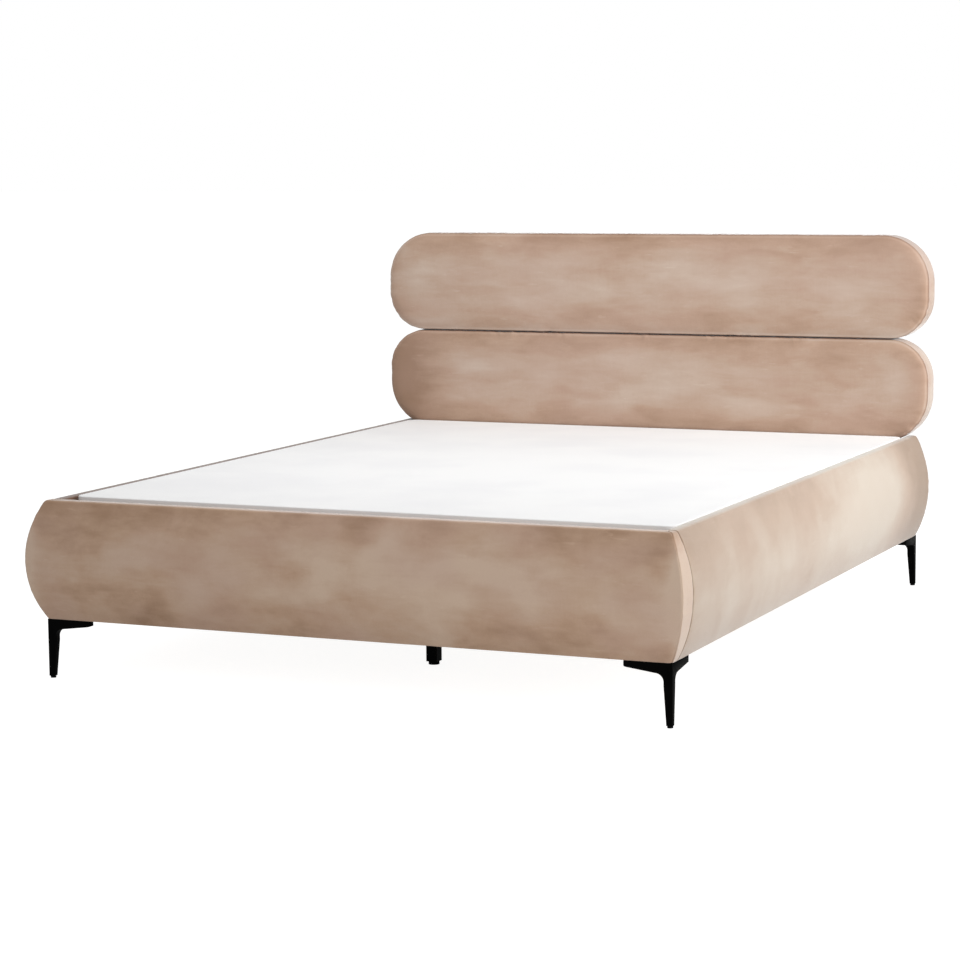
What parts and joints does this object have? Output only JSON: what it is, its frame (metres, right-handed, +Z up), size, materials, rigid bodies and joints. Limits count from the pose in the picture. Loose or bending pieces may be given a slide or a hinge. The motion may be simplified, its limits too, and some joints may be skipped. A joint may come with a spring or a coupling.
{
  "type": "upholstered double bed",
  "caption": "Double bed with a bulging velvet-covered frame on black cast legs, a headboard of two stacked round-ended bolsters, a slatted base and a mattress.",
  "frame": {"origin": "on the floor, in the middle of the bed's overall length and width", "axes": "+X across the bed, +Y from the foot to the headboard, +Z up"},
  "size_m": [1.744, 2.2114, 1.0415],
  "materials": {
    "velvet": "matte",
    "foam": "matte",
    "mattress_ticking": "matte",
    "lining": "matte",
    "webbing": "matte",
    "pine": "satin",
    "plywood": "matte",
    "frame_board": "matte",
    "black_cast_metal": "satin",
    "black_steel": "satin",
    "zinc_steel": "satin",
    "black_plastic": "matte"
  },
  "bodies": {
    "frame": {"beam_hanger_front": "zinc_steel", "beam_hanger_rear": "zinc_steel", "centre_beam": "pine", "centre_leg_front": "black_steel", "centre_leg_inserts": "black_plastic", "centre_leg_rear": "black_steel", "corner_bracket_front_left": "zinc_steel", "corner_bracket_front_right": "zinc_steel", "corner_bracket_rear_left": "zinc_steel", "corner_bracket_rear_right": "zinc_steel", "corner_leg_front_left": "black_cast_metal", "corner_leg_front_right": "black_cast_metal", "corner_leg_rear_left": "black_cast_metal", "corner_leg_rear_right": "black_cast_metal", "footboard_board": "frame_board", "footboard_cover": "velvet", "footboard_foam": "foam", "frame_bolts": "zinc_steel", "head_end_board": "frame_board", "headboard_lining": "lining", "headboard_upright_left": "pine", "headboard_upright_right": "pine", "leg_glides": "black_plastic", "leg_screws": "zinc_steel", "lower_bolster_board": "plywood", "lower_bolster_cover": "velvet", "lower_bolster_foam": "foam", "lower_bolster_ring": "pine", "side_ledger_left": "pine", "side_ledger_right": "pine", "side_rail_left_board": "frame_board", "side_rail_left_cover": "velvet", "side_rail_left_foam": "foam", "side_rail_right_board": "frame_board", "side_rail_right_cover": "velvet", "side_rail_right_foam": "foam", "slat_01": "pine", "slat_02": "pine", "slat_03": "pine", "slat_04": "pine", "slat_05": "pine", "slat_06": "pine", "slat_07": "pine", "slat_08": "pine", "slat_09": "pine", "slat_10": "pine", "slat_11": "pine", "slat_12": "pine", "slat_13": "pine", "slat_webbing": "webbing", "upper_bolster_board": "plywood", "upper_bolster_cover": "velvet", "upper_bolster_foam": "foam", "upper_bolster_ring": "pine", "wood_screws": "zinc_steel"},
    "mattress": {"mattress_core": "foam", "mattress_cover": "mattress_ticking"},
    "levelling_foot_front": {"levelling_foot_front": "black_plastic"},
    "levelling_foot_rear": {"levelling_foot_rear": "black_plastic"}
  },
  "joints": [
    {"name": "mattress_lift", "type": "slide", "parent": "frame", "child": "mattress", "axis": [0, 0, 1], "range_m": [0, 0.82]},
    {"name": "foot_thread_front", "type": "slide", "parent": "frame", "child": "levelling_foot_front", "axis": [0, 0, -1], "range_m": [0, 0.012]},
    {"name": "foot_thread_rear", "type": "slide", "parent": "frame", "child": "levelling_foot_rear", "axis": [0, 0, -1], "range_m": [0, 0.012]}
  ]
}
